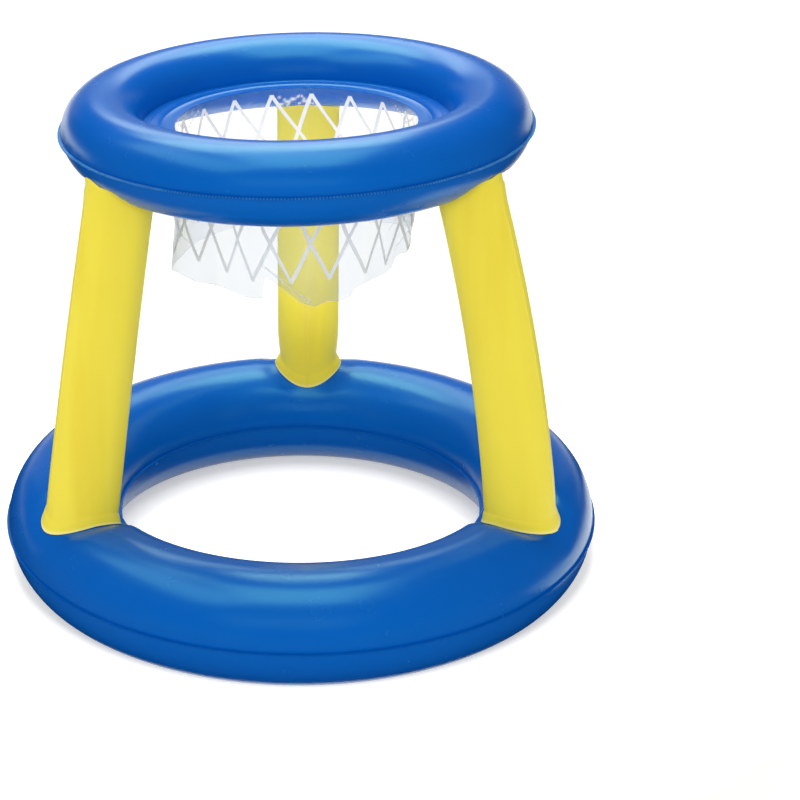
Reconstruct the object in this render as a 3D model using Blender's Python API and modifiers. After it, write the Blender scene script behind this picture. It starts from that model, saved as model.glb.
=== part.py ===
"""Floating basketball hoop, blown up and standing on its base ring.

Two rings of blue film, each welded from an upper and a lower panel, are held apart by three
yellow legs. A clear printed net hangs from the web inside the hoop ring, and each ring has a
push-in valve with a check flap. Metres, +Z up, the origin on the floor under the base ring's
centre, and the front of the hoop towards -Y.
"""

import math
from collections import namedtuple

import bmesh
import bpy
from mathutils import Vector

COLLECTION = "floating_basketball_hoop"

# Film and welds
FILM = 0.0004
WELD_GAP = 0.0003
RING_LIP = 0.0030
LEG_LIP = 0.0008
SEAM_LEVEL = WELD_GAP / 2 + FILM

# Base ring; a fullness of 2 is round, and here the lower half is squashed a little wider by the floor
BASE_RADIUS = 0.2373
BASE_TUBE = 0.0547
BASE_HEIGHT = 0.0545
BASE_FULLNESS = 2.15
BASE_STEPS = 52
BASE_ARCS = 8

# Hoop ring, which stands and leans a little to the left, with its lower half drawn in by the legs
HOOP_RADIUS = 0.1821
HOOP_TUBE = 0.0372
HOOP_CENTRE = (-0.0025, 0.0010)
HOOP_HEIGHT = 0.4533
HOOP_LEAN = -math.radians(1.21)
HOOP_FULLNESS = 1.75
HOOP_STEPS = 48
HOOP_ARCS = 8
HOOP_OPENING = 0.1134
INNER_LIP = 0.0080

# Legs: directions of foot and head in degrees from +X, radii there, outward bow, and waist at the foot
Leg = namedtuple("Leg", "name foot_way head_way foot_radius head_radius bow waist panels")
LEGS = (
    Leg("rear_leg", 87.8, 87.3, 0.0323, 0.0314, 0.0, 0.0020, ("left_panel", "right_panel")),
    Leg("left_leg", 208.0, 210.7, 0.0341, 0.0315, 0.0016, 0.0006, ("front_panel", "rear_panel")),
    Leg("right_leg", 332.1, 326.1, 0.0337, 0.0302, 0.0090, 0.0003, ("rear_panel", "front_panel")),
)
LEG_ARCS = 6
SINK = 0.0025
# Height above or below a leg's weld, and how far the film stands out there
FOOT_SKIRT = ((-SINK, 0.0030), (0.0010, 0.0027), (0.0045, 0.0008))
FOOT_WAIST = 0.0110
HEAD_SKIRT = ((0.0060, 0.0), (0.0010, 0.0010), (-SINK, 0.0014))
LEG_STATIONS = (0.17, 0.34, 0.51, 0.68, 0.85)
AIR_PORT = 0.0060

# Net: film round its top, the flange welded under the web, and how far down each row hangs
NET_COLUMNS = 36
NET_ROUND = HOOP_OPENING - 0.0006
NET_FLANGE = 0.1265
NET_DEPTH = 0.1270
NET_ROWS = (0.010, 0.30, 0.55, 0.78, 1.0)
NET_FLARE = 0.0010
# Waves of the film, and of its hem's depth: how many, how large, and where the first one starts
NET_FOLDS = ((9, 0.0030, -0.971), (5, 0.0016, 0.429))
HEM_WAVES = ((1, 0.0100, -4.102), (3, 0.0050, -14.661))

# Valves: ring, direction in degrees from +X, and height on the tube in degrees from its outer side
BASE_VALVE = (118.0, 32.0)
HOOP_VALVE = (62.0, 32.0)
VALVE_SIDES = 14
FLANGE_RADIUS = 0.0120
FLANGE_HOLE = 0.0076
FLANGE_TOP = 0.0009
FLANGE_FOOT = -0.0035
FLANGE_ROUND = 0.0006
FILM_HOLE = 0.0080
BOOT_TOP_RADIUS = 0.0070
BOOT_WALL = 0.0006
BOOT_FOOT_RADIUS = 0.0051
BOOT_GRIP = 0.0020
STEM_RADIUS = 0.0042
STEM_BORE = 0.0032
STEM_RIM = 0.0058
STEM_BOTTOM = -0.0120
STEM_TOP = 0.0009
RIM_THICKNESS = 0.0012
PLUG_DISC = 0.0058
PLUG_DISC_TOP = 0.0026
PLUG_SHAFT = 0.0030
PLUG_TIP = 0.0025
PLUG_LENGTH = 0.0070
PLUG_ROUND = 0.0004
HOLE_CUTTER_DEPTH = 0.0200
# Strap: its width, and the loop of its middle line as reach from the disc and height
STRAP_WIDTH = 0.0025
STRAP_THICKNESS = 0.0005
STRAP_LOOP = ((0.0, 0.00210), (0.00070, 0.00205), (0.00110, 0.00150), (0.00070, 0.00075), (0.0, 0.00070))
STRAP_WAYS = ((0.0, 1.0), (1.0, 1.0), (1.0, 0.0), (1.0, -1.0), (0.0, -1.0))
FLAP_RADIUS = 0.0040
FLAP_THICKNESS = 0.0005

CORE_CLEARANCE = 0.0003

BLUE_VINYL = ("blue_vinyl", (0.000, 0.090, 0.430), 0.28, 1.0)
YELLOW_VINYL = ("yellow_vinyl", (0.800, 0.690, 0.060), 0.38, 1.0)
CLEAR_FILM = ("clear_film", (0.900, 0.930, 0.960), 0.10, 0.35)
WHITE_VALVE = ("white_valve_vinyl", (0.800, 0.820, 0.840), 0.35, 1.0)


def clear_scene():
    for obj in list(bpy.data.objects):
        bpy.data.objects.remove(obj, do_unlink=True)


def make_collection(name):
    collection = bpy.data.collections.new(name)
    bpy.context.scene.collection.children.link(collection)
    return collection


def make_material(finish):
    name, colour, roughness, alpha = finish
    found = bpy.data.materials.get(name)
    if found:
        return found
    material = bpy.data.materials.new(name)
    material.use_nodes = True
    shader = material.node_tree.nodes["Principled BSDF"]
    shader.inputs["Base Color"].default_value = (*colour, 1.0)
    shader.inputs["Roughness"].default_value = roughness
    shader.inputs["Metallic"].default_value = 0.0
    shader.inputs["Alpha"].default_value = alpha
    return material


def add_object(name, mesh, finish, parent, collection):
    obj = bpy.data.objects.new(name, mesh)
    collection.objects.link(obj)
    obj.parent = parent
    if finish:
        mesh.materials.append(make_material(finish))
    return obj


def add_empty(name, location, rotation, parent, collection):
    empty = bpy.data.objects.new(name, None)
    empty.location = location
    empty.rotation_euler = rotation
    empty.parent = parent
    collection.objects.link(empty)
    return empty


def smooth(mesh):
    mesh.shade_smooth()
    mesh.set_sharp_from_angle(angle=math.radians(50.0))


def give_thickness(obj, thickness):
    wall = obj.modifiers.new("Film", "SOLIDIFY")
    wall.thickness = thickness
    wall.offset = -1.0
    wall.use_even_offset = True
    wall.use_rim = True


def cut(obj, cutter):
    boolean = obj.modifiers.new("Cut", "BOOLEAN")
    boolean.operation = "DIFFERENCE"
    boolean.solver = "EXACT"
    boolean.object = cutter


def turned(name, profile, steps, finish, parent, collection, closed=False):
    """A profile of (radius, height) points turned about the parent's Z axis.

    An open profile makes an open sheet, and a closed one makes a solid. The points run down
    the outer side, so the faces point out.
    """
    edges = [(i, i + 1) for i in range(len(profile) - 1)]
    if closed:
        edges.append((len(profile) - 1, 0))
    mesh = bpy.data.meshes.new(name)
    mesh.from_pydata([(radius, 0.0, height) for radius, height in profile], edges, [])
    obj = add_object(name, mesh, finish, parent, collection)
    screw = obj.modifiers.new("Turn", "SCREW")
    screw.axis = "Z"
    screw.angle = math.tau
    screw.steps = steps
    screw.render_steps = steps
    screw.use_merge_vertices = True
    screw.merge_threshold = 0.00001
    screw.use_smooth_shade = True
    return obj


def lofted(name, rows, round_and_back, finish, parent, collection):
    """A sheet of quads through rows of points, each row running anticlockwise seen from above."""
    mesh = bpy.data.meshes.new(name)
    net = bmesh.new()
    grid = [[net.verts.new(point) for point in row] for row in rows]
    columns = len(rows[0])
    last = columns if round_and_back else columns - 1
    for low, high in zip(grid, grid[1:]):
        for i in range(last):
            j = (i + 1) % columns
            net.faces.new((low[i], low[j], high[j], high[i]))
    net.to_mesh(mesh)
    net.free()
    smooth(mesh)
    return add_object(name, mesh, finish, parent, collection)


def arc(radius, tube, fullness, start, end, arcs):
    """Points on a tube's section, its centre at (radius, 0), from one angle to another in degrees.

    The upper half is round, and the lower half has the fullness given.
    """
    points = []
    for i in range(arcs + 1):
        angle = math.radians(start + (end - start) * i / arcs)
        across = math.cos(angle)
        up = math.sin(angle)
        power = 2.0 / fullness if up < 0.0 else 1.0
        points.append((
            radius + tube * math.copysign(abs(across) ** power, across),
            tube * math.copysign(abs(up) ** power, up),
        ))
    return points


def panel_profile(radius, tube, fullness, arcs, upper, inner_end, floor=None):
    """Half a tube with its weld lips: the outer lip, the wall and the inner lip or web."""
    side = 1.0 if upper else -1.0
    if floor is None:
        wall = arc(radius, tube, fullness, 0.0, side * 180.0, arcs)
    else:
        rest = math.degrees(math.asin((floor / tube) ** (fullness / 2)))
        wall = arc(radius, tube, fullness, 0.0, -rest, arcs // 2)
        wall += arc(radius, tube, fullness, -180.0 + rest, -180.0, arcs // 2)
    wall[0] = (radius + tube, side * SEAM_LEVEL)
    wall[-1] = (radius - tube, side * SEAM_LEVEL)
    profile = [(radius + tube + RING_LIP, side * SEAM_LEVEL)] + wall + [(inner_end, side * SEAM_LEVEL)]
    return profile[::-1] if upper else profile


def ring_core(name, radius, tube, fullness, arcs, steps, floor, parent, cutters):
    """The ring's blown-up body, a little larger, which cuts what is welded on to it."""
    round_section = arc(radius, tube + CORE_CLEARANCE, fullness, 0.0, -360.0, 2 * arcs)[:-1]
    if floor is not None:
        round_section = [(r, max(z, -floor)) for r, z in round_section]
    core = turned(name, round_section, steps, None, parent, cutters, closed=True)
    core.hide_render = True
    core.display_type = "WIRE"
    return core


def hole_cutter(name, radius, depth, parent, cutters):
    mesh = bpy.data.meshes.new(name)
    drill = bmesh.new()
    bmesh.ops.create_cone(
        drill, cap_ends=True, segments=VALVE_SIDES, radius1=radius, radius2=radius, depth=depth
    )
    drill.to_mesh(mesh)
    drill.free()
    cutter = add_object(name, mesh, None, parent, cutters)
    cutter.hide_render = True
    cutter.display_type = "WIRE"
    return cutter


def build_base_ring(centre, parts, cutters):
    inner_end = BASE_RADIUS - BASE_TUBE - RING_LIP
    upper = turned(
        "base_ring_upper_panel",
        panel_profile(BASE_RADIUS, BASE_TUBE, BASE_FULLNESS, BASE_ARCS, True, inner_end),
        BASE_STEPS, BLUE_VINYL, centre, parts,
    )
    lower = turned(
        "base_ring_lower_panel",
        panel_profile(BASE_RADIUS, BASE_TUBE, BASE_FULLNESS, BASE_ARCS, False, inner_end, floor=BASE_HEIGHT),
        BASE_STEPS, BLUE_VINYL, centre, parts,
    )
    give_thickness(upper, FILM)
    give_thickness(lower, FILM)
    core = ring_core(
        "base_core", BASE_RADIUS, BASE_TUBE, BASE_FULLNESS, BASE_ARCS, BASE_STEPS, BASE_HEIGHT, centre, cutters
    )
    return upper, core


def build_hoop_ring(centre, parts, cutters):
    upper = turned(
        "hoop_ring_upper_panel",
        panel_profile(HOOP_RADIUS, HOOP_TUBE, HOOP_FULLNESS, HOOP_ARCS, True, HOOP_OPENING),
        HOOP_STEPS, BLUE_VINYL, centre, parts,
    )
    inner_end = HOOP_RADIUS - HOOP_TUBE - INNER_LIP
    lower = turned(
        "hoop_ring_lower_panel",
        panel_profile(HOOP_RADIUS, HOOP_TUBE, HOOP_FULLNESS, HOOP_ARCS, False, inner_end),
        HOOP_STEPS, BLUE_VINYL, centre, parts,
    )
    give_thickness(upper, FILM)
    give_thickness(lower, FILM)
    core = ring_core(
        "hoop_core", HOOP_RADIUS, HOOP_TUBE, HOOP_FULLNESS, HOOP_ARCS, HOOP_STEPS, None, centre, cutters
    )
    return upper, core


def base_surface(x, y):
    """Height of the base ring's upper side over a point of the floor."""
    across = math.hypot(x, y) - BASE_RADIUS
    return BASE_HEIGHT + math.sqrt(max(BASE_TUBE**2 - across**2, 0.0))


def hoop_surface(x, y):
    """Height of the hoop ring's underside over a point of the floor, with the ring's lean."""
    x -= HOOP_CENTRE[0]
    y -= HOOP_CENTRE[1]
    across = min(abs(math.hypot(x, y) - HOOP_RADIUS) / HOOP_TUBE, 1.0)
    level = HOOP_HEIGHT - x * math.sin(HOOP_LEAN)
    return level - HOOP_TUBE * (1.0 - across**HOOP_FULLNESS) ** (1.0 / HOOP_FULLNESS)


def round_point(centre, radius, way):
    way = math.radians(way)
    return Vector((centre[0] + radius * math.cos(way), centre[1] + radius * math.sin(way)))


def on_section(centre, way, along, sideways):
    """A point of a leg's section, which is set out from its centre by the leg's direction."""
    way = math.radians(way)
    outward = Vector((math.cos(way), math.sin(way)))
    return centre + along * outward + sideways * Vector((-outward.y, outward.x))


def half_section(radius, side):
    """Half a round section from lip to lip, as moves along and across the leg's direction."""
    section = [(radius + LEG_LIP, SEAM_LEVEL)]
    for i in range(LEG_ARCS + 1):
        turn = math.pi * i / LEG_ARCS
        section.append((radius * math.cos(turn), max(radius * math.sin(turn), SEAM_LEVEL)))
    section.append((-radius - LEG_LIP, SEAM_LEVEL))
    if side < 0:
        return [(along, -sideways) for along, sideways in reversed(section)]
    return section


def leg_rows(leg, side):
    """Rows of one half of a leg, from its foot weld to its head weld.

    The half lies anticlockwise of the leg's seams where side is 1 and clockwise where it is -1.
    Each column of film runs straight from the base ring up to the hoop ring, but for the leg's bow.
    """
    foot_centre = round_point((0.0, 0.0), BASE_RADIUS, leg.foot_way)
    head_centre = round_point(HOOP_CENTRE, HOOP_RADIUS, leg.head_way)
    outward = (foot_centre + head_centre).normalized()
    rise = HOOP_HEIGHT - HOOP_TUBE - BASE_HEIGHT - BASE_TUBE
    stations = [(height / rise, height, out) for height, out in FOOT_SKIRT]
    stations.append((FOOT_WAIST / rise, FOOT_WAIST, -leg.waist))
    stations += [(share, None, 0.0) for share in LEG_STATIONS]
    stations += [(1.0 - height / rise, -height, out) for height, out in HEAD_SKIRT]
    rows = []
    for share, height, out in stations:
        bow = outward * 4.0 * leg.bow * share * (1.0 - share)
        row = []
        for low, high, foot_out, head_out in zip(
            half_section(leg.foot_radius, side), half_section(leg.head_radius, side),
            half_section(leg.foot_radius + out, side), half_section(leg.head_radius + out, side),
        ):
            foot = on_section(foot_centre, leg.foot_way, *low)
            head = on_section(head_centre, leg.head_way, *high)
            foot_level = base_surface(foot.x, foot.y)
            head_level = hoop_surface(head.x, head.y)
            foot = on_section(foot_centre, leg.foot_way, *foot_out)
            head = on_section(head_centre, leg.head_way, *head_out)
            at = foot.lerp(head, share) + bow
            if height is None:
                level = foot_level + (head_level - foot_level) * share
            elif share < 0.5:
                level = base_surface(at.x, at.y) + height
            else:
                level = hoop_surface(at.x, at.y) + height
            row.append((at.x, at.y, level))
        rows.append(row)
    return rows


def build_leg(leg, cores, parts, cutters):
    for side, panel in zip((1, -1), leg.panels):
        half = lofted(f"{leg.name}_{panel}", leg_rows(leg, side), False, YELLOW_VINYL, None, parts)
        give_thickness(half, FILM)
        for core in cores:
            cut(half, core)
    crest = round_point((0.0, 0.0), BASE_RADIUS, leg.foot_way)
    crest = (crest.x, crest.y, BASE_HEIGHT + BASE_TUBE)
    port_place = add_empty(f"{leg.name}_port", crest, (0.0, 0.0, 0.0), None, parts)
    return hole_cutter(f"{leg.name}_port_cutter", AIR_PORT, HOLE_CUTTER_DEPTH, port_place, cutters)


def waved(waves, turn):
    return sum(size * math.cos(count * turn + start) for count, size, start in waves)


def net_point(turn, depth_share):
    """A point of the net's film, which hangs almost straight and folds in soft waves at its hem."""
    radius = NET_ROUND + depth_share**2 * (NET_FLARE + waved(NET_FOLDS, turn))
    depth = depth_share * (NET_DEPTH + waved(HEM_WAVES, turn))
    return (radius * math.cos(turn), radius * math.sin(turn), -depth)


def build_net(centre, parts):
    """The net: a flange welded under the hoop ring's web and a skirt that hangs from it."""
    flange_level = -SEAM_LEVEL
    turns = [math.tau * i / NET_COLUMNS for i in range(NET_COLUMNS)]
    rows = [[net_point(turn, share) for turn in turns] for share in reversed(NET_ROWS)]
    for radius in (NET_ROUND, NET_FLANGE):
        rows.append([(radius * math.cos(turn), radius * math.sin(turn), flange_level) for turn in turns])
    net = lofted("net", rows, True, CLEAR_FILM, centre, parts)
    give_thickness(net, FILM)


def valve_place(name, radius, tube, direction, centre, parts):
    """An empty on the ring's outer surface whose Z axis points straight out of the film."""
    way = math.radians(direction[0])
    rise = math.radians(direction[1])
    reach = radius + tube * math.cos(rise)
    place = (reach * math.cos(way), reach * math.sin(way), tube * math.sin(rise))
    return add_empty(name, place, (0.0, math.pi / 2 - rise, way), centre, parts)


def build_valve(name, place, core, parts, cutters):
    """A push-in valve: flange, folding boot, stem, check flap, and a plug on its strap."""
    flange = turned(
        f"{name}_flange",
        [
            (FLANGE_HOLE, FLANGE_TOP),
            (FLANGE_RADIUS - FLANGE_ROUND, FLANGE_TOP),
            (FLANGE_RADIUS, FLANGE_TOP - FLANGE_ROUND),
            (FLANGE_RADIUS, FLANGE_FOOT),
            (FLANGE_HOLE, FLANGE_FOOT),
        ],
        VALVE_SIDES, WHITE_VALVE, place, parts, closed=True,
    )
    cut(flange, core)
    boot = turned(
        f"{name}_boot",
        [(BOOT_TOP_RADIUS, 0.0), (BOOT_FOOT_RADIUS, STEM_BOTTOM + BOOT_GRIP), (BOOT_FOOT_RADIUS, STEM_BOTTOM)],
        VALVE_SIDES, WHITE_VALVE, place, parts,
    )
    give_thickness(boot, BOOT_WALL)
    turned(
        f"{name}_stem",
        [
            (STEM_BORE, STEM_TOP),
            (STEM_RIM, STEM_TOP),
            (STEM_RIM, STEM_TOP - RIM_THICKNESS),
            (STEM_RADIUS, STEM_TOP - RIM_THICKNESS),
            (STEM_RADIUS, STEM_BOTTOM),
            (STEM_BORE, STEM_BOTTOM),
        ],
        VALVE_SIDES, WHITE_VALVE, place, parts, closed=True,
    )
    disc_bottom = STEM_TOP + CORE_CLEARANCE
    turned(
        f"{name}_plug",
        [
            (0.0, PLUG_DISC_TOP),
            (PLUG_DISC - PLUG_ROUND, PLUG_DISC_TOP),
            (PLUG_DISC, PLUG_DISC_TOP - PLUG_ROUND),
            (PLUG_DISC, disc_bottom),
            (PLUG_SHAFT, disc_bottom),
            (PLUG_TIP, disc_bottom - PLUG_LENGTH),
            (0.0, disc_bottom - PLUG_LENGTH),
        ],
        VALVE_SIDES, WHITE_VALVE, place, parts,
    )
    build_strap(f"{name}_strap", place, parts)
    build_flap(f"{name}_check_flap", place, parts)
    return hole_cutter(f"{name}_hole_cutter", FILM_HOLE, HOLE_CUTTER_DEPTH, place, cutters)


def build_strap(name, place, parts):
    """The plug's strap: a flat band that loops from the plug's disc down to the stem's rim."""
    start = PLUG_DISC + CORE_CLEARANCE
    sides = []
    for half in (STRAP_THICKNESS / 2, -STRAP_THICKNESS / 2):
        sides.append([
            (start + reach + half * way[0], height + half * way[1])
            for (reach, height), way in zip(STRAP_LOOP, STRAP_WAYS)
        ])
    outline = sides[0] + sides[1][::-1]
    curve = bpy.data.curves.new(name, "CURVE")
    curve.dimensions = "2D"
    curve.fill_mode = "BOTH"
    curve.extrude = STRAP_WIDTH / 2
    spline = curve.splines.new("POLY")
    spline.points.add(len(outline) - 1)
    for point, (x, z) in zip(spline.points, outline):
        point.co = (x, z, 0.0, 1.0)
    spline.use_cyclic_u = True
    strap = add_object(name, curve, WHITE_VALVE, place, parts)
    strap.rotation_euler = (math.pi / 2, 0.0, 0.0)


def build_flap(name, place, parts):
    """The check flap, a disc under the stem with its origin on the hinge at one side."""
    mesh = bpy.data.meshes.new(name)
    disc = bmesh.new()
    bmesh.ops.create_cone(
        disc, cap_ends=True, segments=VALVE_SIDES,
        radius1=FLAP_RADIUS, radius2=FLAP_RADIUS, depth=FLAP_THICKNESS,
    )
    bmesh.ops.translate(disc, verts=disc.verts, vec=(-FLAP_RADIUS, 0.0, -FLAP_THICKNESS / 2))
    disc.to_mesh(mesh)
    disc.free()
    smooth(mesh)
    flap = add_object(name, mesh, WHITE_VALVE, place, parts)
    flap.location = (FLAP_RADIUS, 0.0, STEM_BOTTOM - CORE_CLEARANCE)


def main():
    clear_scene()
    parts = make_collection(COLLECTION)
    cutters = make_collection("cutters")
    base_centre = add_empty("base_ring_centre", (0.0, 0.0, BASE_HEIGHT), (0.0, 0.0, 0.0), None, parts)
    hoop_middle = (*HOOP_CENTRE, HOOP_HEIGHT)
    hoop_centre = add_empty("hoop_ring_centre", hoop_middle, (0.0, HOOP_LEAN, 0.0), None, parts)
    base_panel, base_core = build_base_ring(base_centre, parts, cutters)
    hoop_panel, hoop_core = build_hoop_ring(hoop_centre, parts, cutters)
    for leg in LEGS:
        cut(base_panel, build_leg(leg, (base_core, hoop_core), parts, cutters))
    build_net(hoop_centre, parts)
    base_place = valve_place("base_valve_place", BASE_RADIUS, BASE_TUBE, BASE_VALVE, base_centre, parts)
    cut(base_panel, build_valve("base_valve", base_place, base_core, parts, cutters))
    hoop_place = valve_place("hoop_valve_place", HOOP_RADIUS, HOOP_TUBE, HOOP_VALVE, hoop_centre, parts)
    cut(hoop_panel, build_valve("hoop_valve", hoop_place, hoop_core, parts, cutters))


main()
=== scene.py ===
"""Floating basketball hoop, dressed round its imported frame.

Two blue vinyl rings, each a pair of welded skins, three yellow legs in welded halves, a clear
printed net and two push-in valves, on a white studio floor. Metres, +Z up, front towards -Y.
"""

import math
from collections import namedtuple

import bmesh
import bpy
import numpy as np
from mathutils import Matrix, Vector


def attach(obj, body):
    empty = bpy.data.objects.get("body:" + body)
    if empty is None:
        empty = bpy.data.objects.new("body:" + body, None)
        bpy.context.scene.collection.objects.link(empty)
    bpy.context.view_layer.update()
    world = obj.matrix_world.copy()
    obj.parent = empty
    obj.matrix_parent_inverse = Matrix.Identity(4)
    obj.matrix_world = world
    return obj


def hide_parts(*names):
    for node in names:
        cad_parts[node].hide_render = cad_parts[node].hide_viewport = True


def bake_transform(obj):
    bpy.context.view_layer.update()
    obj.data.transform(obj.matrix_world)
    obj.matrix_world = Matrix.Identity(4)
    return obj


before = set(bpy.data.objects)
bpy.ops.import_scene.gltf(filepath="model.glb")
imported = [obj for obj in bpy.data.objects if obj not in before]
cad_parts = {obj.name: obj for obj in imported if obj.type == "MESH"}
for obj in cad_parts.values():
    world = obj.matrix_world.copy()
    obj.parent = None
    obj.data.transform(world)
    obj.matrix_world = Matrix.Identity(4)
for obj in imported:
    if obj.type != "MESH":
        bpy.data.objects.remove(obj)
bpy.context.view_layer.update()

MM = 0.001

# Thickness of the film, and of the net's thinner one
FILM = 0.4 * MM
NET_FILM = 0.24 * MM
# How far a ring's skins stand from its middle plane at their weld
SEAM_LEVEL = 0.55 * MM
# How far a leg's seam stands out, and half the gap in it along the leg and at the leg's ends
LEG_LIP = 0.8 * MM
SEAM_GAP = 0.43 * MM
WELD_GAP = 0.05 * MM

# Radius of the ring and of its tube, the middle of the ring and how far it leans, and its outer lip. A
# fullness of 2 is a round lower half, gathers is how much the film puckers along its outer weld, and
# seed is where its random draws start.
Ring = namedtuple("Ring", "radius tube centre lean fullness lip gathers seed")
BASE = Ring(0.2373, 0.0547, (0.0, 0.0, 0.0545), 0.0, 2.15, 2.2 * MM, 0.12 * MM, 11)
HOOP = Ring(0.1821, 0.0372, (-0.0025, 0.0010, 0.4533), -math.radians(1.21), 1.75, 3.0 * MM, 0.40 * MM, 31)
# Radii of the hoop's opening in its web, of the lower skin's inner edge and of the net's flange
HOOP_OPENING = 0.1134
LOWER_LIP = 0.1369
NET_FLANGE = 0.1265
FLANGE_MIDDLE = 0.1200
# How far outside the opening's edge the net's flange ends, and how far inside it the skirt hangs
SKIRT_INSET = 0.6 * MM

# Directions of foot and head in degrees, radii there, outward bow, and waist above the foot. press is how
# far the head flattens the hoop's film, the level it is flattened to, and that level's tilt; drawn is
# how far the head's inner side is drawn in; and sink is how far the foot sinks on the base ring's crest
# and inside it.
Leg = namedtuple("Leg", "name foot head foot_radius head_radius bow waist press drawn sink halves")
LEGS = (
    Leg(
        "rear_leg", 87.8, 86.2, 0.0332, 0.0318, 0.0, 2.0 * MM,
        (0.0, -20.0 * MM, 0.0), 0.55, (2.0 * MM, 3.0 * MM), ("left_panel", "right_panel"),
    ),
    Leg(
        "left_leg", 208.0, 210.7, 0.0347, 0.0320, 1.6 * MM, 0.6 * MM,
        (0.95, -17.5 * MM, 0.09), 0.0, (4.0 * MM, 8.0 * MM), ("front_panel", "rear_panel"),
    ),
    Leg(
        "right_leg", 332.1, 326.1, 0.0342, 0.0306, 9.0 * MM, 0.3 * MM,
        (0.72, -17.5 * MM, 0.0), 0.0, (8.6 * MM, 8.0 * MM), ("rear_panel", "front_panel"),
    ),
)

# How finely the pieces are divided
RING_STEPS = 540
TUBE_SIDES = 96
SEAM_ROWS = (1.6 * MM, 3.2 * MM, 5.4 * MM)
LEG_SIDES = 96
LEG_BODY_ROWS = 44
VALVE_SIDES = 40
NET_COLUMNS = 660
NET_ROWS = 65


def linear(hex_colour):
    """A colour written as #RRGGBB, as the linear values that shaders take."""
    values = [int(hex_colour[i:i + 2], 16) / 255 for i in (1, 3, 5)]
    return (*[v / 12.92 if v <= 0.04045 else ((v + 0.055) / 1.055) ** 2.4 for v in values], 1.0)


def deselect():
    bpy.ops.object.select_all(action="DESELECT")


def set_in_place(piece, place):
    """Puts a piece's place into its mesh, so that its object sits at the origin."""
    piece.data.transform(place)
    piece.data.update()


def points_of(piece):
    """A piece's points, one row of x, y and z for each."""
    flat = np.zeros(len(piece.data.vertices) * 3)
    piece.data.vertices.foreach_get("co", flat)
    return flat.reshape(-1, 3)


def move_points(piece, points):
    piece.data.vertices.foreach_set("co", points.astype(np.float32).ravel())
    piece.data.update()


def add_mask(piece, name, values):
    """Stores a value from 0 to 1 for each point, for the piece's material to read."""
    mask = piece.data.attributes.new(name, "FLOAT", "POINT")
    mask.data.foreach_set("value", np.asarray(values, np.float32))


def give_wall(piece, thickness, offset=-1.0):
    """Gives an open film its thickness, inwards unless the offset says otherwise."""
    deselect()
    piece.select_set(True)
    bpy.context.view_layer.objects.active = piece
    wall = piece.modifiers.new("film", "SOLIDIFY")
    wall.thickness = thickness
    wall.offset = offset
    wall.use_even_offset = True
    bpy.ops.object.modifier_apply(modifier=wall.name)


def smooth_shade(piece, degrees=40):
    deselect()
    piece.select_set(True)
    bpy.context.view_layer.objects.active = piece
    bpy.ops.object.shade_smooth_by_angle(angle=math.radians(degrees))


def step(low, high, x):
    """Goes from 0 at low to 1 at high, easing in and out."""
    t = np.clip((x - low) / (high - low), 0.0, 1.0)
    return t * t * (3.0 - 2.0 * t)


def bell(x, width):
    """1 at zero, falling away on both sides."""
    return np.exp(-(x / width) ** 2)


def apart(a, b):
    """Angle from b to a in degrees, from -180 to 180."""
    return (a - b + 180.0) % 360.0 - 180.0


def round_noise(turn, knots, seed):
    """Smooth noise from -1 to 1 round a circle, with that many knots."""
    values = np.random.default_rng(seed).uniform(-1.0, 1.0, knots)
    at = (turn / math.tau % 1.0) * knots
    low = np.floor(at).astype(int) % knots
    share = at - np.floor(at)
    share = share * share * (3.0 - 2.0 * share)
    return values[low] * (1.0 - share) + values[(low + 1) % knots] * share


def ring_place(ring):
    return Matrix.Translation(ring.centre) @ Matrix.Rotation(ring.lean, 4, "Y")


# Rings

def select_edges(piece, test):
    """In edit mode, selects the open edges whose middle the test accepts."""
    mesh = bmesh.from_edit_mesh(piece.data)
    for item in list(mesh.verts) + list(mesh.edges) + list(mesh.faces):
        item.select_set(False)
    for edge in mesh.edges:
        if edge.is_boundary and test((edge.verts[0].co + edge.verts[1].co) / 2):
            edge.select_set(True)
    bmesh.update_edit_mesh(piece.data)


def widen_rim(start, end, rise):
    """Extrudes the selected round rim from one radius to another, with a rise in level."""
    bpy.ops.mesh.extrude_edges_move(TRANSFORM_OT_translate={"value": (0.0, 0.0, rise)})
    share = end / start
    bpy.ops.transform.resize(value=(share, share, 1.0), center_override=(0.0, 0.0, 0.0))


def ring_skin(name, ring, side, inner_steps):
    """Half a ring's film from a torus cut at its weld, with the weld's outer lip and the web inside."""
    deselect()
    bpy.ops.mesh.primitive_torus_add(
        major_segments=RING_STEPS, minor_segments=TUBE_SIDES,
        major_radius=ring.radius, minor_radius=ring.tube, generate_uvs=False,
    )
    skin = bpy.context.object
    skin.name = name
    bpy.ops.object.mode_set(mode="EDIT")
    for height in (SEAM_LEVEL, *SEAM_ROWS):
        bpy.ops.mesh.select_all(action="SELECT")
        bpy.ops.mesh.bisect(
            plane_co=(0.0, 0.0, side * height), plane_no=(0.0, 0.0, side),
            clear_inner=height == SEAM_LEVEL,
        )
    select_edges(skin, lambda p: math.hypot(p.x, p.y) > ring.radius)
    seam = reach = ring.radius + ring.tube
    for share in (0.2, 0.5, 1.0):
        wider = seam + share * ring.lip
        widen_rim(reach, wider, 0.0)
        reach = wider
    select_edges(skin, lambda p: math.hypot(p.x, p.y) < ring.radius)
    reach = ring.radius - ring.tube
    for inner, rise in inner_steps:
        widen_rim(reach, inner, rise)
        reach = inner
    bpy.ops.mesh.select_all(action="SELECT")
    bpy.ops.mesh.normals_make_consistent(inside=False)
    bpy.ops.object.mode_set(mode="OBJECT")
    return skin


def face_out(skin):
    """Turns the faces round if the film's outer side points into the tube."""
    farthest = max(skin.data.polygons, key=lambda f: abs(f.center.z))
    if farthest.normal.z * farthest.center.z < 0.0:
        skin.data.flip_normals()


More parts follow.
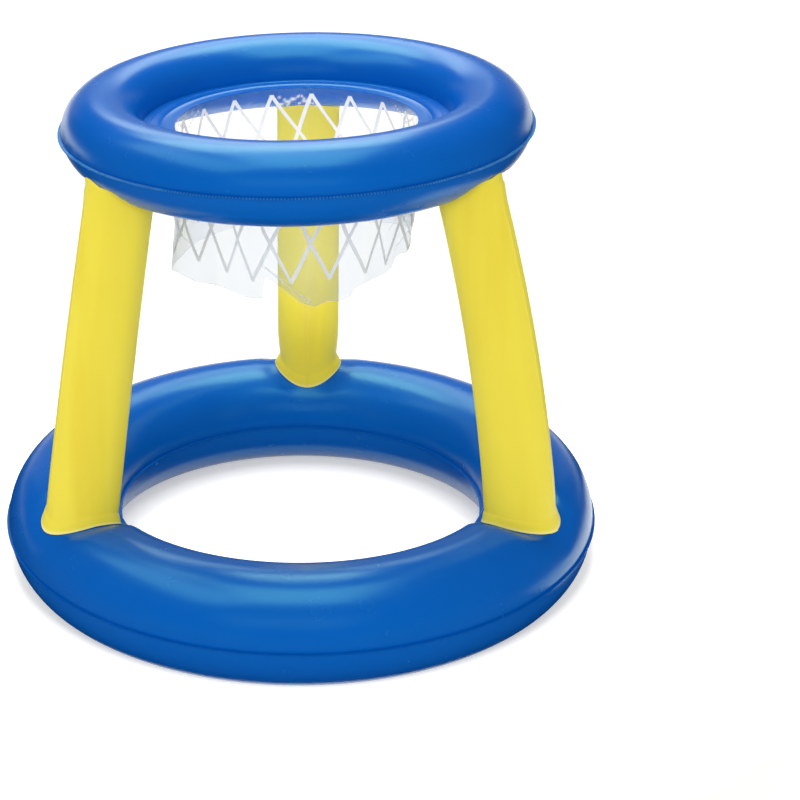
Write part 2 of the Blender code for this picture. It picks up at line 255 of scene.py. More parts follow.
# Puckers of the ring film: pitch of the gathers along the outer weld, and how many slow swells of the
# gathers, waves of the lip and gathers of the inner weld go round
GATHER_PITCH = 9.0 * MM
GATHER_SWELLS = 37
LIP_WAVES = 23
INNER_GATHERS = 60
# How many puckers radiate from each foot
FOOT_PUCKERS = 7


def film_relief(points, ring, side):
    """How far the welded film puckers in along its seams, and how far its lip waves up and down."""
    turn = np.arctan2(points[:, 1], points[:, 0])
    across = np.hypot(points[:, 0], points[:, 1]) - ring.radius
    up = points[:, 2]
    beyond = across - ring.tube
    outer = across > 0.0
    at_seam = outer * (beyond < 0.3 * MM)
    knots = int(round(math.tau * (ring.radius + ring.tube) / GATHER_PITCH))
    # Gathers within a few millimetres of the outer weld, which also pinches the film in
    swell = 0.55 + 0.45 * round_noise(turn, GATHER_SWELLS, ring.seed + 1)
    gathers = round_noise(turn, knots, ring.seed) * swell
    near = bell(np.abs(up) - 3.0 * MM, 4.0 * MM) * at_seam
    pinch = bell(up, 1.6 * MM) * at_seam
    inward = ring.gathers * gathers * near + 0.4 * MM * pinch
    # The lip waves more the further out it is, and the film gathers a little at the inner weld
    lip = step(0.1 * ring.lip, ring.lip, beyond) * outer
    lip_wave = ring.gathers * round_noise(turn, knots // 2, ring.seed + 5)
    lip_wave += 0.6 * ring.gathers * round_noise(turn, LIP_WAVES, ring.seed + 6)
    inner = round_noise(turn, INNER_GATHERS, ring.seed + 9) * bell(up - side * 6.0 * MM, 7.0 * MM)
    inward += 0.25 * MM * inner * ~outer * (across > -ring.tube)
    return inward, lip * lip_wave


def fill_out(points, ring):
    """Gives the lower half of a round tube the ring's fullness."""
    away = np.hypot(points[:, 0], points[:, 1])
    across = away - ring.radius
    wall = (points[:, 2] < -SEAM_LEVEL * 1.5) & (np.abs(across) < ring.tube * 1.001)
    angle = np.arctan2(points[:, 2], across)
    power = 2.0 / ring.fullness
    new_across = ring.tube * np.sign(across) * np.abs(np.cos(angle)) ** power
    new_up = -ring.tube * np.abs(np.sin(angle)) ** power
    share = np.where(wall, (ring.radius + new_across) / away, 1.0)
    points[:, 0] *= share
    points[:, 1] *= share
    points[:, 2] = np.where(wall, new_up, points[:, 2])


def sunk(x, y):
    """How far the feet press the base ring's film down at a place: most on the ring's inner side."""
    depth = 0.0
    for leg in LEGS:
        way = math.radians(leg.foot)
        outward = x * math.cos(way) + y * math.sin(way) - BASE.radius
        gap = np.hypot(outward, y * math.cos(way) - x * math.sin(way)) - leg.foot_radius
        crest, inside = leg.sink
        inner = np.clip(-outward / leg.foot_radius, 0.0, 1.0)
        outer = np.clip(outward / leg.foot_radius, 0.0, 1.0)
        most = crest + (inside - crest) * inner - 0.55 * crest * outer**2
        depth = depth + most * (1.0 - step(3.6 * MM, 20.0 * MM, gap))
    return depth


def dent(points):
    """Sinks the base ring's film where each leg presses on it, in soft puckers."""
    sink = sunk(points[:, 0], points[:, 1])
    for leg in LEGS:
        way = math.radians(leg.foot)
        x = points[:, 0] - BASE.radius * math.cos(way)
        y = points[:, 1] - BASE.radius * math.sin(way)
        pull = 1.0 + 0.5 * np.cos(FOOT_PUCKERS * np.arctan2(y, x) + leg.foot)
        gap = np.hypot(x, y) - leg.foot_radius
        sink += 0.6 * MM * bell(gap - 14.0 * MM, 7.0 * MM) * pull + 0.3 * MM * (gap < 2.0 * MM)
    points[:, 2] -= sink * (points[:, 2] > 0.02)
    points[:, 2] = np.maximum(points[:, 2], -BASE.centre[2])


def pressed_in(x, y, level):
    """The hoop's lower film at a place, pressed up and flattened where a leg's head is welded to it."""
    for leg in LEGS:
        share, flat, tilt = leg.press
        way = math.radians(leg.head)
        aside = x - HOOP.radius * math.cos(way)
        gap = np.hypot(aside, y - HOOP.radius * math.sin(way)) - leg.head_radius
        share = share * (1.0 - step(1.5 * MM, 16.0 * MM, gap))
        level = level + share * np.maximum(flat + tilt * aside - level, 0.0) * (level < 0.0)
    return level


def shape_ring(skin, ring, side):
    """Gives a torus half its blown-up form, and returns how far out on the weld's lip each point is."""
    points = points_of(skin)
    inward, rise = film_relief(points, ring, side)
    fill_out(points, ring)
    away = np.hypot(points[:, 0], points[:, 1])
    outward = points[:, :2] / away[:, None]
    sign = np.where(away > ring.radius, 1.0, -1.0)
    points[:, :2] -= outward * (inward * sign)[:, None]
    points[:, 2] += rise
    if ring is BASE:
        dent(points)
    elif side < 0.0:
        points[:, 2] = pressed_in(points[:, 0], points[:, 1], points[:, 2])
    move_points(skin, points)
    beyond = away - ring.radius - ring.tube
    return step(0.1 * MM, 0.6 * MM, beyond)


def cut_round_hole(skin, place, radius):
    """Takes the film out inside a circle round a place's axis and draws the edge on to the circle."""
    lowest = -10.0 * MM
    deselect()
    skin.select_set(True)
    bpy.context.view_layer.objects.active = skin
    to_place = place.inverted()
    bpy.ops.object.mode_set(mode="EDIT")
    mesh = bmesh.from_edit_mesh(skin.data)
    inside = []
    for face in mesh.faces:
        local = to_place @ face.calc_center_median()
        if local.z > lowest and math.hypot(local.x, local.y) < radius:
            inside.append(face)
    bmesh.ops.delete(mesh, geom=inside, context="FACES")
    for vertex in mesh.verts:
        local = to_place @ vertex.co
        away = math.hypot(local.x, local.y)
        if vertex.is_boundary and local.z > lowest and away < 2.0 * radius:
            local.x *= radius / away
            local.y *= radius / away
            vertex.co = place @ local
    bmesh.update_edit_mesh(skin.data)
    bpy.ops.object.mode_set(mode="OBJECT")


def valve_matrix(ring, way, rise):
    """The place of a valve on its ring: Z points straight out of the film."""
    way, rise = math.radians(way), math.radians(rise)
    reach = ring.radius + ring.tube * math.cos(rise)
    at = Matrix.Translation((reach * math.cos(way), reach * math.sin(way), ring.tube * math.sin(rise)))
    turned = Matrix.Rotation(way, 4, "Z") @ Matrix.Rotation(math.pi / 2 - rise, 4, "Y")
    return ring_place(ring) @ at @ turned


# Materials

def add_node(tree, kind, inputs=None, **settings):
    """Adds a node, sets it up, and links or fills its inputs. A node as an input is its first output."""
    node = tree.nodes.new(kind)
    for name, value in settings.items():
        setattr(node, name, value)
    for socket, value in (inputs or {}).items():
        if isinstance(value, bpy.types.Node):
            value = value.outputs[0]
        if isinstance(value, bpy.types.NodeSocket):
            tree.links.new(value, node.inputs[socket])
        else:
            node.inputs[socket].default_value = value
    return node


def new_material(name):
    material = bpy.data.materials.new(name)
    material.use_nodes = True
    tree = material.node_tree
    tree.nodes.clear()
    return material, tree


def per_metre(size):
    """The scale of a pattern whose blotches are that many millimetres wide."""
    return 1000.0 / size


# The weld wheel's teeth: their pitch, and so how many go round the hoop ring's lip
TOOTH_PITCH = 2.93 * MM
WELD_TEETH = round(math.tau * (HOOP.radius + HOOP.tube) / TOOTH_PITCH)


def blue_pvc_film():
    """Calendered soft PVC, pigmented blue through and through: glossy, with a faint orange peel."""
    material, tree = new_material("blue_pvc_film_calendered")
    place = add_node(tree, "ShaderNodeTexCoord").outputs["Object"]
    cloud = add_node(tree, "ShaderNodeTexNoise", {"Vector": place, "Scale": per_metre(111.0), "Detail": 3.0})
    tint = add_node(tree, "ShaderNodeMix", {
        "Factor": cloud, 6: linear("#0058B6"), 7: linear("#005EBF"),
    }, data_type="RGBA").outputs[2]
    # Teeth pressed into the hoop's weld, pale where they stretched the film and patchy along it
    weld = add_node(tree, "ShaderNodeAttribute", attribute_name="weld").outputs["Fac"]
    spot = add_node(tree, "ShaderNodeSeparateXYZ", {"Vector": place}).outputs
    turn = add_node(tree, "ShaderNodeMath", {0: spot["Y"], 1: spot["X"]}, operation="ARCTAN2")
    along = add_node(tree, "ShaderNodeMath", {0: turn, 1: float(WELD_TEETH)}, operation="MULTIPLY")
    teeth = add_node(tree, "ShaderNodeMath", {0: along}, operation="SINE")
    patchy = add_node(tree, "ShaderNodeTexNoise", {"Vector": place, "Scale": per_metre(11.1), "Detail": 3.0})
    pressed = add_node(tree, "ShaderNodeMath", {0: patchy, 1: 2.4, 2: teeth}, operation="MULTIPLY_ADD")
    bitten = add_node(tree, "ShaderNodeMath", {0: pressed, 1: 1.3}, operation="GREATER_THAN")
    tooth = add_node(tree, "ShaderNodeMath", {0: bitten, 1: weld}, operation="MULTIPLY")
    # Painted highlight: they are paler at the left and right of the ring, where the lip catches the
    # light, than at its front and rear
    aside = add_node(tree, "ShaderNodeMath", {0: spot["X"]}, operation="ABSOLUTE")
    paler = add_node(tree, "ShaderNodeMapRange", {
        "Value": aside, "From Min": 0.09, "From Max": 0.16, "To Min": 0.2, "To Max": 0.9,
    })
    tooth_with_side_glint = add_node(tree, "ShaderNodeMath", {0: tooth, 1: paler}, operation="MULTIPLY")
    colour = add_node(tree, "ShaderNodeMix", {
        "Factor": tooth_with_side_glint, 6: tint, 7: linear("#6AB6EE"),
    }, data_type="RGBA").outputs[2]
    smudge = add_node(tree, "ShaderNodeTexNoise", {"Vector": place, "Scale": per_metre(28.6), "Detail": 4.0})
    rough = add_node(tree, "ShaderNodeMapRange", {"Value": smudge, "To Min": 0.22, "To Max": 0.30})
    # Orange peel, drawn coarser than the real one so that it shows
    peel = add_node(tree, "ShaderNodeTexNoise", {"Vector": place, "Scale": per_metre(2.38), "Detail": 2.0})
    bump = add_node(tree, "ShaderNodeBump", {"Height": peel, "Strength": 0.1, "Distance": 0.3 * MM})
    knurl = add_node(tree, "ShaderNodeBump", {
        "Height": tooth, "Strength": 0.6, "Distance": 0.4 * MM, "Normal": bump,
    })
    shader = add_node(tree, "ShaderNodeBsdfPrincipled", {
        "Base Color": colour, "Roughness": rough, "Normal": knurl, "IOR": 1.53,
        "Specular IOR Level": 0.49, "Specular Tint": linear("#90FFC8"),
    })
    add_node(tree, "ShaderNodeOutputMaterial", {"Surface": shader})
    return material


def yellow_pvc_film():
    """Calendered soft PVC, yellow and a little see-through: duller than the rings, paler at its welds.

    Part of the welds' paleness is painted light, and faint darker streaks up the legs are painted shade.
    """
    material, tree = new_material("yellow_pvc_film_calendered")
    place = add_node(tree, "ShaderNodeTexCoord").outputs["Object"]
    cloud = add_node(tree, "ShaderNodeTexNoise", {"Vector": place, "Scale": per_metre(71.4), "Detail": 3.0})
    tint = add_node(tree, "ShaderNodeMix", {
        "Factor": cloud, 6: linear("#EBDD46"), 7: linear("#F0E352"),
    }, data_type="RGBA").outputs[2]
    # Painted shade: faint darker streaks up the legs, standing for the shading of the film's flats
    drawn = add_node(tree, "ShaderNodeVectorMath", {
        0: place, 1: (per_metre(23.8), per_metre(23.8), per_metre(455.0)),
    }, operation="MULTIPLY")
    streak = add_node(tree, "ShaderNodeTexNoise", {"Vector": drawn, "Scale": 1.0, "Detail": 2.0})
    painted_streak_shade = add_node(tree, "ShaderNodeMapRange", {
        "Value": streak, "From Min": 0.48, "From Max": 0.72, "To Min": 0.0, "To Max": 0.40,
    })
    tint_with_painted_shade = add_node(tree, "ShaderNodeMix", {
        "Factor": painted_streak_shade, 6: tint, 7: linear("#E5D038"),
    }, data_type="RGBA").outputs[2]
    # Paler at the welds: the foot's trimmed edge is pale in its own right, and the seam lips' paleness is
    # painted light along the legs' sides
    weld = add_node(tree, "ShaderNodeAttribute", attribute_name="weld").outputs["Fac"]
    paler = add_node(tree, "ShaderNodeMath", {0: weld, 1: 0.7}, operation="MULTIPLY")
    colour = add_node(tree, "ShaderNodeMix", {
        "Factor": paler, 6: tint_with_painted_shade, 7: linear("#F8F2A8"),
    }, data_type="RGBA").outputs[2]
    smudge = add_node(tree, "ShaderNodeTexNoise", {"Vector": place, "Scale": per_metre(33.3), "Detail": 3.0})
    rough = add_node(tree, "ShaderNodeMapRange", {"Value": smudge, "To Min": 0.34, "To Max": 0.46})
    # Orange peel, drawn coarser than the real one so that it shows
    peel = add_node(tree, "ShaderNodeTexNoise", {"Vector": place, "Scale": per_metre(2.63), "Detail": 2.0})
    bump = add_node(tree, "ShaderNodeBump", {"Height": peel, "Strength": 0.15, "Distance": 0.3 * MM})
    shader = add_node(tree, "ShaderNodeBsdfPrincipled", {
        "Base Color": colour, "Roughness": rough, "Normal": bump, "IOR": 1.53,
        "Specular IOR Level": 0.25, "Diffuse Roughness": 0.9,
    })
    add_node(tree, "ShaderNodeOutputMaterial", {"Surface": shader})
    return material


# Net print: how many strands lean each way, the direction in degrees that they are counted from, the
# depth of the upper crossings, how far a strand drops while it crosses to the next, and half its width
# as a share of the way from one to the next
STRANDS = 18
STRAND_PHASE = 82.5
PEAK_DEPTH = 6.0 * MM
STRAND_DROP = 74.0 * MM
STRAND_HALF = 0.052
# Where the print starts and ends, in drops below the upper crossings
PRINT_START = -0.008
PRINT_END = 1.512


def clear_printed_film():
    """Clear press-polished PVC film, screen printed in white: almost unseen but at folds and edges."""
    material, tree = new_material("clear_pvc_film_screen_printed")
    flat = add_node(tree, "ShaderNodeUVMap", uv_map="net_print")
    spot = add_node(tree, "ShaderNodeSeparateXYZ", {"Vector": flat}).outputs
    across = add_node(tree, "ShaderNodeMath", {0: spot["X"], 1: float(STRANDS)}, operation="MULTIPLY")
    below = add_node(tree, "ShaderNodeMath", {0: spot["Y"], 1: PEAK_DEPTH}, operation="SUBTRACT")
    down = add_node(tree, "ShaderNodeMath", {0: below, 1: STRAND_DROP}, operation="DIVIDE")
    inked = 0.0
    for lean in ("SUBTRACT", "ADD"):
        slant = add_node(tree, "ShaderNodeMath", {0: across, 1: down}, operation=lean)
        strand = add_node(tree, "ShaderNodeMath", {0: slant, 1: 0.5}, operation="PINGPONG")
        line = add_node(tree, "ShaderNodeMath", {0: strand, 1: STRAND_HALF}, operation="LESS_THAN")
        inked = add_node(tree, "ShaderNodeMath", {0: line, 1: inked}, operation="MAXIMUM")
    for test, limit in (("GREATER_THAN", PRINT_START), ("LESS_THAN", PRINT_END)):
        within = add_node(tree, "ShaderNodeMath", {0: down, 1: limit}, operation=test)
        inked = add_node(tree, "ShaderNodeMath", {0: within, 1: inked}, operation="MULTIPLY")
    # The front of the skirt is a little greyer and hazier than the rear; its grey is painted shade,
    # where the hoop ring shades it
    place = add_node(tree, "ShaderNodeTexCoord").outputs["Object"]
    depth = add_node(tree, "ShaderNodeSeparateXYZ", {"Vector": place}).outputs["Y"]
    front = add_node(tree, "ShaderNodeMapRange", {"Value": depth, "From Min": 0.05, "From Max": -0.05})
    ink_with_painted_shade, haze_with_painted_shade, clear = [
        add_node(tree, "ShaderNodeMix", {
            "Factor": front, 6: linear(at_rear), 7: linear(at_front),
        }, data_type="RGBA").outputs[2]
        for at_rear, at_front in (("#FFFFFF", "#E6E9ED"), ("#FFFFFF", "#CDD5E1"), ("#FBFCFE", "#F3F6FC"))
    ]
    # Creases show as haze: partly the film's whitening, partly painted glint at the rear and painted shade at
    # the front
    crease = add_node(tree, "ShaderNodeAttribute", attribute_name="crease").outputs["Fac"]
    haze = add_node(tree, "ShaderNodeMath", {0: front, 1: 0.07, 2: 0.03}, operation="MULTIPLY_ADD")
    haze = add_node(tree, "ShaderNodeMath", {0: crease, 1: haze}, operation="MAXIMUM")
    opaque = add_node(tree, "ShaderNodeMath", {0: inked, 1: 0.9}, operation="MULTIPLY")
    cover = add_node(tree, "ShaderNodeMath", {0: opaque, 1: haze}, operation="MAXIMUM")
    tint = add_node(tree, "ShaderNodeMix", {
        "Factor": inked, 6: haze_with_painted_shade, 7: ink_with_painted_shade,
    }, data_type="RGBA").outputs[2]
    white = add_node(tree, "ShaderNodeBsdfDiffuse", {"Color": tint})
    through = add_node(tree, "ShaderNodeBsdfTranslucent", {"Color": tint})
    lit = add_node(tree, "ShaderNodeMixShader", {0: 0.45, 1: white, 2: through})
    see = add_node(tree, "ShaderNodeBsdfTransparent", {"Color": clear})
    printed = add_node(tree, "ShaderNodeMixShader", {0: cover, 1: see, 2: lit})
    gloss = add_node(tree, "ShaderNodeBsdfGlossy", {"Roughness": 0.12, "Color": linear("#FFFFFF")})
    edge = add_node(tree, "ShaderNodeLayerWeight", {"Blend": 0.5}).outputs["Facing"]
    grazing = add_node(tree, "ShaderNodeMath", {0: edge, 1: 5.0}, operation="POWER")
    sheen = add_node(tree, "ShaderNodeMath", {0: grazing, 1: 0.5, 2: 0.02}, operation="MULTIPLY_ADD")
    skin = add_node(tree, "ShaderNodeMixShader", {0: sheen, 1: printed, 2: gloss})
    add_node(tree, "ShaderNodeOutputMaterial", {"Surface": skin})
    return material


def milky_pvc():
    """Moulded soft PVC, milky white, from a polished mould: smooth, with a soft shine."""
    material, tree = new_material("milky_pvc_moulded")
    place = add_node(tree, "ShaderNodeTexCoord").outputs["Object"]
    cloud = add_node(tree, "ShaderNodeTexNoise", {"Vector": place, "Scale": per_metre(6.25), "Detail": 2.0})
    tint = add_node(tree, "ShaderNodeMix", {
        "Factor": cloud, 6: linear("#C3CACF"), 7: linear("#D3D9DD"),
    }, data_type="RGBA").outputs[2]
    bump = add_node(tree, "ShaderNodeBump", {"Height": cloud, "Strength": 0.1, "Distance": 0.2 * MM})
    shader = add_node(tree, "ShaderNodeBsdfPrincipled", {
        "Base Color": tint, "Roughness": 0.32, "Normal": bump, "IOR": 1.53,
    })
    add_node(tree, "ShaderNodeOutputMaterial", {"Surface": shader})
    return material


BLUE = blue_pvc_film()
YELLOW = yellow_pvc_film()
CLEAR = clear_printed_film()
VALVE = milky_pvc()


def dress(piece, material, body, nodes):
    """Gives a finished piece its material and the body it rides on, and hides the nodes it stands for."""
    piece.data.materials.clear()
    piece.data.materials.append(material)
    if body:
        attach(piece, body)
    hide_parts(*nodes)


BASE_VALVE_PLACE = valve_matrix(BASE, 118.0, 32.0)
HOOP_VALVE_PLACE = valve_matrix(HOOP, 62.0, 32.0)

# Steps of each skin inside its tube: the radius that the film is drawn in to, and its rise on the way
WEB_STEPS = (
    (0.1440, 0.0), (0.1385, 0.0), (0.1381, 0.35 * MM), (0.1373, 0.0), (0.1369, -0.35 * MM),
    (0.1330, 0.0), (0.1272, 0.0), (0.1268, 0.3 * MM), (0.1260, 0.0), (0.1256, -0.3 * MM),
    (0.1200, 0.0), (0.1150, 0.0), (HOOP_OPENING, 0.0),
)
BASE_SEAM = BASE.radius - BASE.tube
BASE_LIP_STEPS = ((BASE_SEAM - 1.0 * MM, 0.0), (BASE_SEAM - 3.0 * MM, 0.0))
LOWER_LIP_STEPS = ((0.1425, 0.0), (LOWER_LIP, 0.0))

RING_SKINS = (
    ("base_ring_upper_skin", BASE, 1.0, BASE_LIP_STEPS, "base_ring_upper_panel", BASE_VALVE_PLACE),
    ("base_ring_lower_skin", BASE, -1.0, BASE_LIP_STEPS, "base_ring_lower_panel", None),
    ("hoop_ring_upper_skin", HOOP, 1.0, WEB_STEPS, "hoop_ring_upper_panel", HOOP_VALVE_PLACE),
    ("hoop_ring_lower_skin", HOOP, -1.0, LOWER_LIP_STEPS, "hoop_ring_lower_panel", None),
)
VALVE_HOLE = 8.0 * MM

for name, ring, side, inner_steps, node, hole in RING_SKINS:
    skin = ring_skin(name, ring, side, inner_steps)
    face_out(skin)
    weld = shape_ring(skin, ring, side)
    add_mask(skin, "weld", weld * (ring is HOOP))
    set_in_place(skin, ring_place(ring))
    if hole is not None:
        cut_round_hole(skin, hole, VALVE_HOLE)
    give_wall(skin, FILM)
    smooth_shade(skin)
    dress(skin, BLUE, "float", [node])


# Legs

# Height above the foot's weld and below the head's, and how far the film stands out there, in millimetres
FOOT_SKIRT = (
    (0.45, 3.1), (0.6, 3.2), (0.9, 3.1), (1.6, 2.7), (3.0, 2.1), (4.8, 1.7), (6.6, 1.4), (8.2, 1.1),
    (9.2, 0.75), (9.8, 0.25), (10.6, 0.05), (12.0, 0.0), (15.0, 0.0), (20.0, 0.0),
)
HEAD_SKIRT = ((14.0, 0.0), (8.0, 0.05), (5.0, 0.2), (3.0, 0.5), (1.6, 0.9), (0.8, 1.3), (0.5, 1.4))
LEG_RISE = HOOP.centre[2] - HOOP.tube - BASE.centre[2] - BASE.tube
# Half-way up the legs, and how far out they stand there
MIDDLE_LEVEL = 0.25
MIDDLE_REACH = 0.21
# A blown-up leg isn't quite round: how many flats run along it, how far they and its slow swells stand
# out, and how far the film stands out beside a seam
LEG_FLATS = 7
FLAT_DEPTH = 0.34 * MM
SWELL_DEPTH = 0.18 * MM
LEG_SWELLS = 9
SEAM_BEAD = 0.3 * MM


def leg_levels():
    """Rows of a leg: share of the way up, height off the nearer ring, and how far the film stands out.

    Heights are above 0 in the foot's skirt, below 0 in the head's and 0 on the evenly spaced rows between.
    """
    rows = [(height * MM / LEG_RISE, height * MM, out * MM) for height, out in FOOT_SKIRT]
    rows += [(i / LEG_BODY_ROWS, 0.0, 0.0) for i in range(4, LEG_BODY_ROWS - 2)]
    rows += [(1.0 - height * MM / LEG_RISE, -height * MM, out * MM) for height, out in HEAD_SKIRT]
    return np.array(rows)


def ring_top(x, y):
    across = np.hypot(x, y) - BASE.radius
    return BASE.centre[2] + np.sqrt(np.maximum(BASE.tube**2 - across**2, 0.0)) - sunk(x, y)


def ring_underside(x, y):
    x = x - HOOP.centre[0]
    y = y - HOOP.centre[1]
    across = np.minimum(np.abs(np.hypot(x, y) - HOOP.radius) / HOOP.tube, 1.0)
    level = -HOOP.tube * (1.0 - across**HOOP.fullness) ** (1.0 / HOOP.fullness)
    return HOOP.centre[2] - x * math.sin(HOOP.lean) + pressed_in(x, y, level)


def leg_point(ring, way, radius, turn, seam, gap, drawn=0.0):
    """Points of a leg's section at a ring, set out from the leg's direction there."""
    way = math.radians(way)
    outward = np.array([math.cos(way), math.sin(way)])
    sideways = np.array([-outward[1], outward[0]])
    across = np.where(seam, gap, radius * np.sin(turn))
    centre = np.array(ring.centre[:2]) + ring.radius * outward
    along = radius * np.cos(turn) * np.where(np.cos(turn) < 0.0, 1.0 - drawn, 1.0)
    return centre + np.outer(along, outward) + np.outer(across, sideways)


def column_levels(leg, turn, share):
    """Levels along columns of film that run straight from the base ring to the hoop ring."""
    round_section = np.zeros(len(turn), bool)
    foot = ring_top(*leg_point(BASE, leg.foot, leg.foot_radius, turn, round_section, 0.0).T)
    head = leg_point(HOOP, leg.head, leg.head_radius, turn, round_section, 0.0, leg.drawn)
    return foot + (ring_underside(*head.T) - foot) * share


def leg_half(leg, side, panel):
    """Half a leg from half a tube, drawn out between the base ring and the hoop ring."""
    # Points of the unit tube that are closer than this are one
    same = 0.001
    levels = leg_levels()
    deselect()
    bpy.ops.mesh.primitive_cylinder_add(
        vertices=LEG_SIDES, radius=1.0, depth=1.0, end_fill_type="NOTHING", location=(0.0, 0.0, 0.5),
    )
    half = bpy.context.object
    half.name = f"{leg.name}_{panel}_skin"
    bpy.ops.object.transform_apply(location=True)
    bpy.ops.object.mode_set(mode="EDIT")
    bpy.ops.mesh.select_all(action="SELECT")
    bpy.ops.mesh.bisect(plane_co=(0.0, 0.0, 0.0), plane_no=(0.0, side, 0.0), clear_inner=True)
    mesh = bmesh.from_edit_mesh(half.data)
    bmesh.ops.remove_doubles(mesh, verts=mesh.verts, dist=same)
    bmesh.update_edit_mesh(half.data)
    for way in (1.0, -1.0):
        select_edges(half, lambda p: abs(p.y) < same and p.x * way > 0.5)
        bpy.ops.mesh.extrude_edges_move(TRANSFORM_OT_translate={"value": (0.1 * way, 0.0, 0.0)})
    mesh = bmesh.from_edit_mesh(half.data)
    for edge in mesh.edges:
        edge.select_set(abs(edge.verts[0].co.z - edge.verts[1].co.z) > 0.5)
    bmesh.update_edit_mesh(half.data)
    bpy.ops.mesh.subdivide(number_cuts=len(levels) - 2)
    bpy.ops.mesh.select_all(action="SELECT")
    bpy.ops.mesh.normals_make_consistent(inside=False)
    bpy.ops.object.mode_set(mode="OBJECT")

    # Each row of the half tube becomes a row of the leg, set out between its foot and its head
    points = points_of(half)
    row = np.rint(points[:, 2] * (len(levels) - 1)).astype(int)
    share, height, out = levels[row].T
    turn = np.arctan2(points[:, 1], points[:, 0])
    seam = np.abs(points[:, 1]) < same
    lip = np.abs(points[:, 0]) > 1.05
    turn = np.where(seam, np.where(points[:, 0] > 0.0, 0.0, math.pi * side), turn)
    reach = share * LEG_RISE
    body = step(0.012, 0.03, reach) * step(0.004, 0.03, LEG_RISE - reach)
    flats = FLAT_DEPTH * np.cos(LEG_FLATS * turn + leg.foot) * body
    flats += SWELL_DEPTH * round_noise(turn, LEG_SWELLS, int(leg.foot)) * body
    waist = leg.waist * bell(reach - 0.011, 0.020) * step(0.004, 0.010, reach)
    bead = body * (SEAM_BEAD * seam + (LEG_LIP - SEAM_BEAD) * lip)
    swing = flats - waist + bead + out
    gap = side * (WELD_GAP + (SEAM_GAP - WELD_GAP) * np.minimum(4.0 * body, 1.0))
    level = column_levels(leg, turn, share)
    foot = leg_point(BASE, leg.foot, leg.foot_radius + swing, turn, seam, gap)
    head = leg_point(HOOP, leg.head, leg.head_radius + swing, turn, seam, gap, leg.drawn)
    mean = math.radians((leg.foot + leg.head) / 2)
    bow = np.outer(4.0 * leg.bow * share * (1.0 - share), (math.cos(mean), math.sin(mean)))
    at = foot + (head - foot) * share[:, None] + bow
    level = np.where(height > 0.0, ring_top(*at.T) + height, level)
    level = np.where(height < 0.0, ring_underside(*at.T) + height, level)
    move_points(half, np.column_stack([at, level]))
    # Turns the faces round if the film's outer side points into the tube
    nearest = min(half.data.polygons, key=lambda f: abs(f.center.z - MIDDLE_LEVEL))
    middle = Vector((MIDDLE_REACH * math.cos(mean), MIDDLE_REACH * math.sin(mean), MIDDLE_LEVEL))
    if nearest.normal.dot(nearest.center - middle) < 0.0:
        half.data.flip_normals()
    # Pale welds: the foot's trimmed edge, and the seam lips, whose paleness is painted light along the legs'
    # sides
    weld = np.maximum(step(2.3 * MM, 2.9 * MM, out) * (share < 0.5), lip * 0.4)
    add_mask(half, "weld", weld)
    give_wall(half, FILM)
    smooth_shade(half)
    dress(half, YELLOW, "float", [f"{leg.name}_{panel}"])


for leg in LEGS:
    for side, panel in zip((1.0, -1.0), leg.halves):
        leg_half(leg, side, panel)


# Net

# Depth of the hem in millimetres, by direction in degrees
HEM = (
    (0, 109), (30, 120), (60, 132), (90, 130), (120, 134), (150, 137), (184, 138), (190, 134.5), (200, 132),
    (205, 135), (212, 140), (220, 140.5), (230, 135), (238.5, 133.6), (248, 135), (257.5, 133), (259.1, 112),
    (276, 136), (284, 141), (291, 139), (298, 141), (303.5, 137), (305.5, 130), (310, 127), (332, 126),
    (338, 123), (340.5, 116), (344, 114), (350, 117), (356, 113),
)
# How far the film has slipped round at the hem in degrees, by direction in degrees
SLIP = (
    (0, -11), (60, -6), (150, -4), (185, 0), (212, 2.6), (232, 2.8), (244, -2.6), (254, -5.0), (272, -6.5),
    (292, -8.0), (312, -9.2), (322, -10.5), (334, -15.0), (346, -13.0),
)

# Creases: where each starts and ends in degrees and millimetres of depth, half its width and its strength.
# The strength also sets how pale a crease shows: partly the film's whitening, partly painted glint and shade.
CREASES = (
    (258.0, 101.7, 264.0, 111.2, 0.9, 0.50), (264.0, 111.2, 271.5, 122.4, 0.9, 0.55),
    (271.5, 122.4, 282.0, 135.5, 0.9, 0.55), (189.0, 84.2, 170.5, 112.0, 1.1, 0.40),
    (170.5, 112.0, 191.5, 110.2, 1.0, 0.35), (207.0, 71.9, 191.5, 110.2, 1.1, 0.40),
    (206.5, 99.6, 189.0, 84.2, 1.0, 0.35), (200.0, 60.0, 196.0, 96.0, 1.0, 0.30),
    (342.5, 72.6, 354.5, 103.0, 1.1, 0.40), (361.0, 86.1, 341.0, 104.0, 1.0, 0.35),
    (350.0, 58.0, 356.0, 98.0, 1.0, 0.35), (334.0, 84.0, 344.0, 66.0, 0.9, 0.30),
    (101.0, 17.4, 94.5, 12.6, 0.9, 0.70), (94.5, 12.6, 89.0, 8.4, 1.0, 0.80),
    (92.5, 9.6, 95.5, 17.8, 1.2, 0.55), (88.0, 7.0, 84.5, 15.5, 1.0, 0.65),
    (89.5, 15.4, 84.0, 10.8, 0.9, 0.60), (86.5, 16.8, 82.5, 14.2, 0.9, 0.75),
    (84.5, 11.5, 81.0, 17.8, 0.8, 0.60), (100.0, 7.2, 96.0, 10.8, 0.8, 0.50),
    (146.0, 5.0, 158.0, 18.0, 0.9, 0.45), (158.0, 18.0, 170.0, 6.0, 0.9, 0.50),
    (152.0, 3.5, 166.0, 9.0, 0.8, 0.40), (166.0, 20.0, 176.0, 9.0, 0.9, 0.45),
    (12.0, 6.0, 24.0, 17.0, 0.9, 0.50), (24.0, 17.0, 33.0, 5.0, 0.9, 0.45),
    (4.0, 16.0, 15.0, 9.0, 0.9, 0.45), (18.0, 4.0, 30.0, 10.0, 0.8, 0.40),
)
